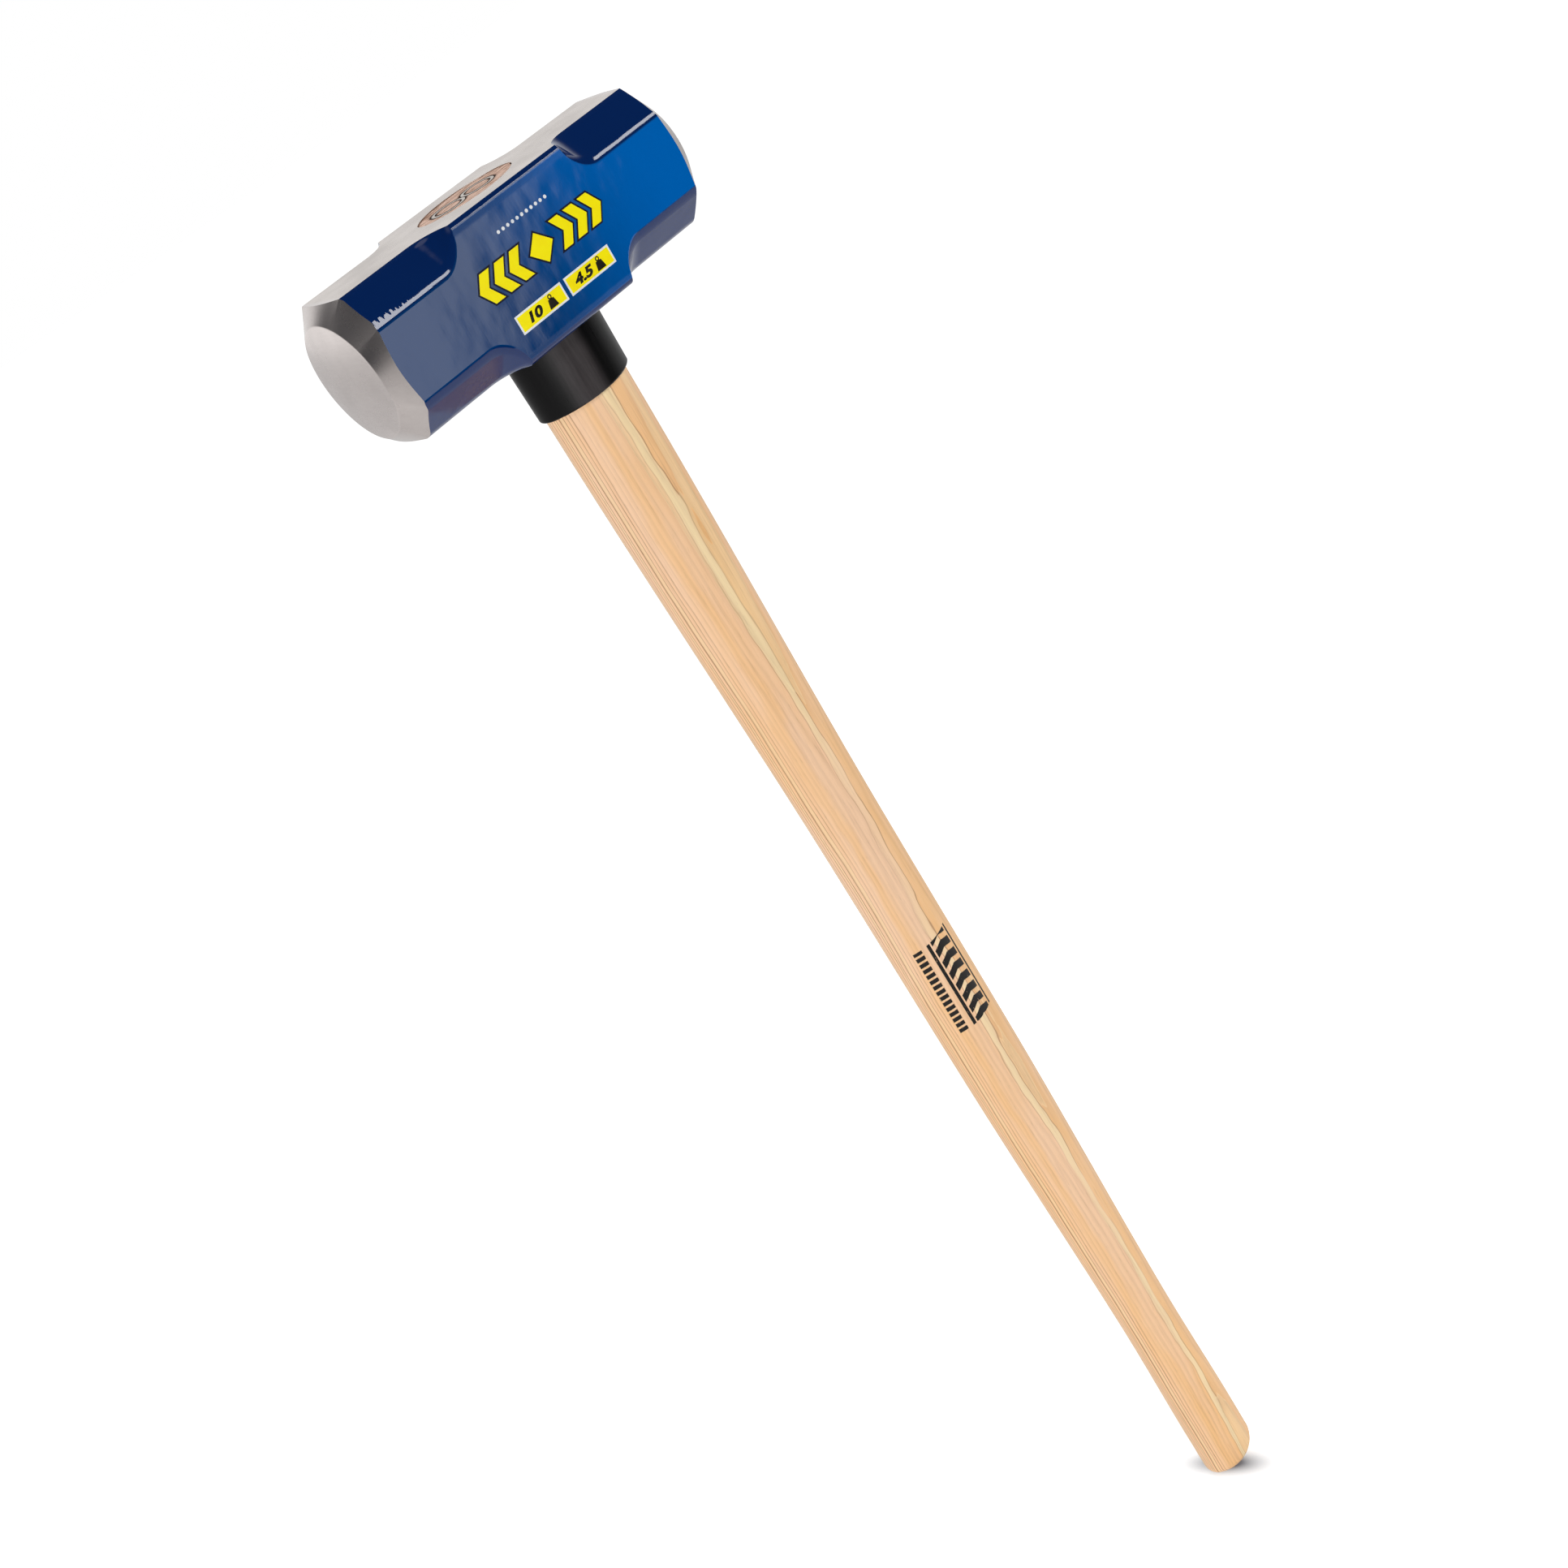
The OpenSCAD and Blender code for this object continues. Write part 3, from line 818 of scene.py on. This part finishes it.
def hickory(name, stamped):
    material, sheet = newSheet(name)
    place = sheet.objectPlace()
    x, y, z = sheet.split(place)
    sway = sheet.noise(sheet.placed(place, scale=(10, 10, 2.6)), 1.0, 2.0, 0.5)
    ripple = sheet.noise(sheet.placed(place, scale=(50, 50, 13)), 1.0, 3.0, 0.5)
    shiver = sheet.noise(sheet.placed(place, scale=(420, 420, 16)), 1.0, 2.0, 0.5)
    pithX, pithY = wood["pith"]
    offX = x - pithX
    offY = y - pithY
    radius = (offX * offX + offY * offY).root()
    radius = radius + (sway - 0.5) * (6 * mm) + (ripple - 0.5) * (1.8 * mm) + (shiver - 0.5) * (0.3 * mm)
    spread = sheet.noise(sheet.join(radius, 0.0, 0.0), 420.0, 1.0, 0.5)
    year = (radius + (spread - 0.5) * (2.2 * mm)) / wood["ring"]
    phase = year.part()
    tint = sheet.node("ShaderNodeTexWhiteNoise", {"noise_dimensions": "1D"}, {"W": year.whole()})
    normal = sheet.split(sheet.node("ShaderNodeNewGeometry", out="Normal"))
    flatSawn = abs(normal[0] * offX + normal[1] * offY) / radius  # 1 where the rings lie in the surface
    early = (1 - phase.fade(0.04, 0.34)) * phase.fade(0.0, 0.04) * (1 - flatSawn.fade(0.5, 0.76) * 0.86)
    late = phase.fade(0.5, 1.0)
    patch = sheet.noise(sheet.placed(place, scale=(38, 38, 5)), 1.0, 3.0, 0.6)
    wander = x + (ripple - 0.5) * (14 * mm) + (sway - 0.5) * (8 * mm)
    warm = patch.fade(0.38, 0.64) * 0.5 + tint * 0.16 + wander.fade(3.6 * mm, 5 * mm) * 0.55
    low = 1 - z.fade(*wood["butt"])
    color = sheet.mix(wood["pink"], wood["amber"], (warm + low * 0.45).least(1.0))
    front = 1 - y.fade(-2 * mm, 0.0)
    color = sheet.mix(color, wood["amber"], band(wander, *wood["gold"], 1.5 * mm) * front * 0.55)
    paleFrom, paleTo = wood["pale"]
    pale = band(wander, paleFrom, paleTo, 0.9 * mm) * front
    color = sheet.mix(color, wood["straw"], pale * sway.fade(0.3, 0.5) * 0.85)
    rims = band(wander, paleTo + 0.1 * mm, paleTo + 0.5 * mm, 0.25 * mm)
    rims = rims + band(wander, paleFrom - 0.5 * mm, paleFrom - 0.1 * mm, 0.25 * mm) * 0.7
    color = sheet.mix(color, wood["line"], rims * front * patch.fade(0.3, 0.5) * 0.75)
    color = sheet.mix(color, wood["straw"], tint.fade(0.66, 0.78) * 0.35)
    streak = sheet.noise(sheet.placed(place, scale=(900, 900, 22)), 1.0, 3.0, 0.6)
    lined = early * (0.5 + streak * 0.95 + low * 0.3) + late * 0.10 + streak.fade(0.5, 0.8) * 0.20
    color = sheet.mix(color, wood["line"], lined.least(1.0))
    pores = sheet.noise(sheet.placed(place, scale=(3000, 3000, 150)), 1.0, 2.0, 0.6)
    vessel = pores.fade(0.58, 0.70) * (early * 0.8 + 0.13)
    color = sheet.mix(color, wood["pore"], vessel * 0.8)
    relief = sheet.bump(1 - vessel, 0.03 * mm, 0.7)
    relief = sheet.bump(streak, 0.02 * mm, 0.6, relief)
    sawn = z.fade(handleHigh.z - 0.8 * mm, handleHigh.z - 0.3 * mm)
    cells = sheet.noise(sheet.placed(place, scale=(110, 900, 60)), 1.0, 3.0, 0.65)
    dots = (cells.fade(0.44, 0.62) * 0.7 + early * 0.35).least(1.0)
    endColor = sheet.mix(wood["end"], wood["pore"], dots)
    halfWall = wedges["ringWall"] / 2
    for ringX in wedges["ringsAt"]:  # darker band of end grain around each ring
        away = ((x - ringX) * (x - ringX) + y * y).root() - (wedges["ringRadius"] - halfWall)
        aroundRing = 1 - abs(away).fade(halfWall + 0.5 * mm, halfWall + 1.8 * mm)
        endColor = sheet.mix(endColor, wood["darkAroundRing"], aroundRing)
    color = sheet.mix(color, endColor, sawn)
    rough = wood["roughness"] + sawn * (wood["endRoughness"] - wood["roughness"])
    varnish = wood["varnish"] * (1 - sawn)
    if stamped:
        inked = stampMask(sheet, place, x, y, z)
        color = sheet.mix(color, stamp["ink"], inked)
        varnish = varnish * (1 - inked * 0.85)
    sheet.finish({
        "Base Color": color, "Roughness": rough, "Specular IOR Level": wood["gloss"],
        "Coat Weight": varnish, "Coat Roughness": wood["varnishRoughness"], "Normal": relief,
    })
    return material


rubber = {
    "dark": tone(8, 8, 9), "drawn": tone(16, 15, 15),
    # a lighter band painted down the collar as a highlight
    "paintedHighlight": tone(72, 67, 68), "paintedHighlightAt": -6 * mm, "paintedHighlightHalf": (4 * mm, 11 * mm),
    "roughness": 0.30, "gloss": 0.14,
}


def collarRubber():
    material, sheet = newSheet("collarRubber")
    place = sheet.objectPlace()
    x = sheet.split(place)[0]
    drawn = sheet.noise(sheet.placed(place, scale=(900, 900, 60)), 1.0, 3.0, 0.6)
    grain = sheet.noise(place, 2500.0, 2.0, 0.5)
    # painted highlight: a lighter band down the front of the collar
    paintedHighlight = 1 - abs(x - rubber["paintedHighlightAt"]).fade(*rubber["paintedHighlightHalf"])
    color = sheet.mix(rubber["dark"], rubber["drawn"], drawn)
    color = sheet.mix(color, rubber["paintedHighlight"], paintedHighlight * (0.35 + drawn * 0.65))
    relief = sheet.bump(drawn, 0.02 * mm, 0.7)
    relief = sheet.bump(grain, 0.01 * mm, 0.6, relief)
    sheet.finish({
        "Base Color": color, "Roughness": rubber["roughness"] + (drawn - 0.5) * 0.12,
        "Specular IOR Level": rubber["gloss"], "Normal": relief,
    })
    return material


film = {  # each colour, and its cloudy tone
    "yellow": (tone(255, 240, 0), tone(252, 228, 0)),
    "white": (tone(236, 238, 240), tone(210, 216, 224)),
    "ink": (tone(10, 16, 40), tone(18, 26, 54)),
    "black": (tone(22, 20, 12), tone(34, 32, 20)),
}


def printedFilm(name, kind):
    material, sheet = newSheet(name)
    place = sheet.objectPlace()
    color, cloudy = film[kind]
    cloud = sheet.noise(place, 150.0, 3.0, 0.6)
    sheet.finish({
        "Base Color": sheet.mix(color, cloudy, cloud.fade(0.35, 0.85)), "Roughness": 0.4,
        "Coat Weight": 0.1, "Coat Roughness": 0.15, "Specular IOR Level": 0.15,
        "Normal": sheet.bump(sheet.noise(place, 700.0, 2.0, 0.5), 0.006 * mm),
    })
    return material


# labels and small metal

labels = {
    "thick": 0.12 * mm,
    "outline": 0.75 * mm,       # dark edge around the emblem's shapes
    "outlineThick": 0.05 * mm,
    "border": 0.8 * mm,         # white border of the weight labels
    "baseThick": 0.05 * mm, "fieldThick": 0.085 * mm,
    "digitHeight": 3.9 * mm,
    "digitBold": 0.26 * mm, "digitWide": 1.45, "digitShift": -3.6 * mm,
    "digitSlant": 0.22, "capShare": 0.7,    # a digit's height over the text size
    "signSize": 3.9 * mm, "signShift": 5.6 * mm,
}


def emblemOutline(dark):  # a wider copy of each yellow shape, under it
    print("labels: emblem outline")
    piece = copyNode(frame["nodes"]["emblem_label"], "emblemOutline")
    tidyNormals(piece, 0.002 * mm)
    editOn(piece)
    choose(piece, "FACE", lambda face: face.normal.y > -0.9)
    bpy.ops.mesh.delete(type="FACE")
    bpy.ops.mesh.select_all(action="SELECT")
    bpy.ops.mesh.dissolve_limited(angle_limit=math.radians(2))
    bpy.ops.mesh.select_all(action="SELECT")
    bpy.ops.mesh.extrude_region_move(TRANSFORM_OT_translate={"value": (0, labels["thick"], 0)})
    bpy.ops.mesh.select_all(action="SELECT")
    bpy.ops.mesh.normals_make_consistent(inside=False)
    choose(piece, "FACE", lambda face: abs(face.normal.y) < 0.5)
    bpy.ops.transform.shrink_fatten(value=labels["outline"], use_even_offset=True)
    choose(piece, "VERT", lambda vertex: vertex.co.y < labelSide - labels["thick"] / 2)
    bpy.ops.transform.translate(value=(0, labels["thick"] - labels["outlineThick"], 0))
    editOff()
    tidyNormals(piece)
    giveMaterials(piece, dark)
    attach(piece, "root")


def copyNode(source, name):
    twin = source.copy()
    twin.data = source.data.copy()
    twin.name = name
    twin.data.name = name
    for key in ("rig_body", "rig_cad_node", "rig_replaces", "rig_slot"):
        if key in twin:
            del twin[key]
    twin.parent = None
    bpy.context.scene.collection.objects.link(twin)
    return twin


def weightLabel(node, name, white, yellow):
    low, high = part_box(node)
    face = (low + high) / 2
    deselectAll()
    base = labels["baseThick"]
    bpy.ops.mesh.primitive_cube_add(
        size=1, location=(face.x, high.y - base / 2, face.z), scale=(high.x - low.x, base, high.z - low.z))
    piece = named(name)
    settle(piece)
    giveMaterials(piece, white, yellow)
    editOn(piece)
    choose(piece, "FACE", lambda side: side.normal.y < -0.9)
    bpy.ops.mesh.inset(thickness=labels["border"])
    bpy.ops.mesh.extrude_region_move(
        TRANSFORM_OT_translate={"value": (0, base - labels["fieldThick"], 0)})
    piece.active_material_index = 1
    bpy.ops.object.material_slot_assign()
    editOff()
    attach(piece, "root")
    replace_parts(piece, node)
    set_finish(piece, "label_yellow")


def weightSign(piece, x, y, z):  # a little weight with its ring, instead of a unit
    facing = (math.pi / 2, 0, 0)
    size = labels["signSize"]
    bpy.ops.mesh.select_all(action="DESELECT")
    bpy.ops.mesh.primitive_plane_add(size=size, location=(x, y, z - 0.22 * size), rotation=facing)
    bpy.ops.transform.resize(value=(1.25, 1, 0.95), center_override=(x, y, z - 0.22 * size))
    mesh = bmesh.from_edit_mesh(piece.data)
    upper = max(vertex.co.z for vertex in mesh.verts if vertex.select)
    bottom = min(vertex.co.z for vertex in mesh.verts if vertex.select)
    for vertex in [vertex for vertex in mesh.verts if vertex.select]:
        vertex.select_set(vertex.co.z > (upper + bottom) / 2)
    mesh.select_flush_mode()
    bpy.ops.transform.resize(value=(0.62, 1, 1), center_override=(x, y, z))
    bpy.ops.mesh.select_all(action="DESELECT")
    bpy.ops.mesh.primitive_circle_add(
        vertices=20, radius=0.27 * size, fill_type="NGON",
        location=(x, y, upper + 0.22 * size), rotation=facing)
    bpy.ops.mesh.inset(thickness=0.13 * size)
    bpy.ops.mesh.delete(type="FACE")


def digits(node, name, words, ink):
    low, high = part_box(node)
    plate = (low + high) / 2
    fieldY = high.y - labels["fieldThick"]
    deselectAll()
    bpy.ops.object.text_add(location=(0, 0, 0))
    text = bpy.context.object
    text.name = name
    text.data.body = words
    text.data.size = labels["digitHeight"] / labels["capShare"]
    text.data.offset = labels["digitBold"]
    text.data.shear = labels["digitSlant"]
    text.data.align_x = "CENTER"
    text.data.resolution_u = 4
    bpy.ops.object.convert(target="MESH")
    piece = bpy.context.object
    piece.data.name = name
    corners = [vertex.co for vertex in piece.data.vertices]
    middleX = (min(c.x for c in corners) + max(c.x for c in corners)) / 2
    middleY = (min(c.y for c in corners) + max(c.y for c in corners)) / 2
    piece.rotation_euler = (math.pi / 2, 0, 0)
    piece.location = (plate.x - middleX, fieldY, plate.z - middleY)
    settle(piece)
    editOn(piece)
    bpy.ops.mesh.select_all(action="SELECT")
    bpy.ops.mesh.remove_doubles(threshold=0.002 * mm)
    bpy.ops.mesh.select_all(action="SELECT")
    bpy.ops.transform.resize(value=(labels["digitWide"], 1, 1), center_override=(plate.x, 0, 0))
    bpy.ops.transform.translate(value=(labels["digitShift"], 0, 0))
    weightSign(piece, plate.x + labels["signShift"], fieldY, plate.z)
    bpy.ops.mesh.select_all(action="SELECT")
    bpy.ops.mesh.extrude_region_move(
        TRANSFORM_OT_translate={"value": (0, labels["fieldThick"] - labels["thick"], 0)})
    editOff()
    tidyNormals(piece)
    giveMaterials(piece, ink)
    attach(piece, "root")


# floor, world and lights

studio = {
    "floor": 9.0,
    "lit": (0.45, 0.45, 0.45, 1), "shade": tone(150, 157, 170),
    "bounce": (0.55, 0.55, 0.55, 1),    # what the floor gives to the hammer
    "shadeAt": (-7.5 * mm, -3 * mm), "shadeTurn": -62.8,
    "shadeLong": 47 * mm, "shadeWide": 15 * mm,
    "lights": [  # name, place, aim, width, height, brightness
        ("keyStrip", (0.95, -1.75, 2.15), (0, 0, 0.85), 1.25, 0.42, 10.0),
        ("leftSoft", (-1.1, -2.0, 0.75), (0, 0, 0.5), 1.4, 0.9, 5.0),
        ("leftLow", (-1.6, 0.2, 0.5), (0, 0, 0.45), 0.9, 0.8, 2.4),
        ("rightFill", (1.9, -0.6, 0.8), (0, 0, 0.4), 0.7, 1.2, 2.4),
        ("topSoft", (0.2, 0.8, 2.4), (0, 0, 0.9), 1.2, 0.9, 4.5),
    ],
    "unmirrored": ("leftLow", "topSoft", "rightFill"),  # these light the hammer but don't shine in its gloss
    "card": {"place": (1.1, -2.3, 0.38), "width": 1.5, "height": 0.75, "glow": 2.2, "color": (1, 1, 0.96, 1)},
    "flag": {"place": (3.0, -4.9, 0.01), "width": 6.4, "depth": 8.3, "color": (0.015, 0.015, 0.018, 1)},
    "around": (0.04, 0.042, 0.05, 1), "behind": (1.1, 1.1, 1.1, 1), "ceiling": (0.85, 0.83, 0.81, 1),
}


def layFloor():
    print("floor")
    deselectAll()
    bpy.ops.mesh.primitive_plane_add(size=2 * studio["floor"])
    floor = named("studioFloor")
    material, sheet = newSheet("floorWhite")
    x, y, z = sheet.split(sheet.objectPlace())
    centreX, centreY = studio["shadeAt"]
    turn = math.radians(studio["shadeTurn"])
    along = ((x - centreX) * math.cos(turn) + (y - centreY) * math.sin(turn)) / studio["shadeLong"]
    across = ((y - centreY) * math.cos(turn) - (x - centreX) * math.sin(turn)) / studio["shadeWide"]
    clear = (along * along + across * across).root().fade(0.2, 1.0).root()
    seen = sheet.node("ShaderNodeLightPath", out="Is Camera Ray")
    glow = sheet.mix((0, 0, 0, 1), sheet.mix(studio["bounce"], (1, 1, 1, 1), seen), clear)
    sheet.finish({
        "Base Color": sheet.mix(studio["shade"], studio["lit"], clear), "Roughness": 0.9,
        "Specular IOR Level": 0.1, "Emission Color": glow, "Emission Strength": 1.0,
    })
    giveMaterials(floor, material)


def standCard():  # a glowing card in front, unseen by the camera
    print("card")
    deselectAll()
    card = studio["card"]
    bpy.ops.mesh.primitive_plane_add(size=1, location=card["place"], rotation=(math.pi / 2, 0, 0))
    bounceCard = named("frontCard")
    bounceCard.scale = (card["width"], card["height"], 1)
    settle(bounceCard)
    bounceCard.visible_camera = False
    material, sheet = newSheet("cardWhite")
    x, y, z = sheet.split(sheet.objectPlace())
    soft = (1 - (x + (0.48 - z) * 0.8).fade(1.12, 1.5)) * z.fade(0.02, 0.14) * (1 - z.fade(0.58, 0.74))
    sheet.finish({
        "Base Color": (0, 0, 0, 1), "Roughness": 1.0, "Specular IOR Level": 0.0,
        "Emission Color": sheet.mix((0, 0, 0, 1), card["color"], soft), "Emission Strength": card["glow"],
    })
    giveMaterials(bounceCard, material)


def layFlag():  # a dark cloth on the floor in front, unseen by the camera
    print("flag")
    cloth = studio["flag"]
    material, sheet = newSheet("flagFelt")
    sheet.finish({"Base Color": cloth["color"], "Roughness": 1.0, "Specular IOR Level": 0.0})
    deselectAll()
    bpy.ops.mesh.primitive_plane_add(
        size=1, location=cloth["place"], scale=(cloth["width"], cloth["depth"], 1))
    flag = named("frontFlag")
    flag.scale = (cloth["width"], cloth["depth"], 1)
    settle(flag)
    flag.visible_camera = False
    giveMaterials(flag, material)


def paintWorld():
    print("world")
    world = bpy.data.worlds.new("studioWorld")
    bpy.context.scene.world = world
    world.use_nodes = True
    sheet = Sheet(world.node_tree)
    direction = sheet.node("ShaderNodeTexCoord", out="Generated")
    x, y, z = sheet.split(direction)
    behind = y.fade(-0.15, 0.45) * (1 - z.fade(0.28, 0.6))
    ambient = sheet.mix(studio["around"], studio["behind"], behind)
    ambient = sheet.mix(ambient, studio["ceiling"], z.fade(0.955, 0.985))
    surround = sheet.node("ShaderNodeBackground", {}, {"Color": ambient, "Strength": 1.0})
    white = sheet.node("ShaderNodeBackground", {}, {"Color": (1, 1, 1, 1), "Strength": 1.0})
    seen = sheet.node("ShaderNodeLightPath", out="Is Camera Ray")
    both = sheet.node("ShaderNodeMixShader", {}, {0: seen, 1: surround, 2: white})
    sheet.node("ShaderNodeOutputWorld", {}, {"Surface": both})


def hangLamps():
    print("lamps")
    for name, place, aim, width, height, brightness in studio["lights"]:
        deselectAll()
        bpy.ops.object.light_add(type="AREA", location=place)
        lamp = bpy.context.object
        lamp.name = name
        lamp.data.shape = "RECTANGLE"
        lamp.data.size = width
        lamp.data.size_y = height
        lamp.data.energy = brightness * math.pi * width * height
        lamp.rotation_euler = (Vector(place) - Vector(aim)).to_track_quat("Z", "Y").to_euler()
        lamp.visible_camera = False
        lamp.visible_glossy = name not in studio["unmirrored"]


# the whole hammer

setCamera()
layFloor()
standCard()
layFlag()
paintWorld()
hangLamps()
makeHead(bluePaint(), groundSteel())
makeHandle(hickory("hickoryWood", True))
makeCollar(collarRubber())
yellow = printedFilm("labelYellow", "yellow")
white = printedFilm("labelWhite", "white")
black = printedFilm("labelBlack", "black")
emblemOutline(printedFilm("labelInk", "ink"))
weightLabel("weight_label_pounds", "weightPlatePounds", white, yellow)
weightLabel("weight_label_kilos", "weightPlateKilos", white, yellow)
digits("weight_label_pounds", "digitsPounds", "10", black)
digits("weight_label_kilos", "digitsKilos", "4.5", black)
wedgeWood = hickory("wedgeWood", False)
ringSteel = wedgeSteel()
for node, material in (
        ("wooden_wedge", wedgeWood), ("ring_wedge_left", ringSteel), ("ring_wedge_right", ringSteel),
        ("emblem_label", yellow), ("dotted_line_label", white)):
    giveMaterials(frame["nodes"][node], material)
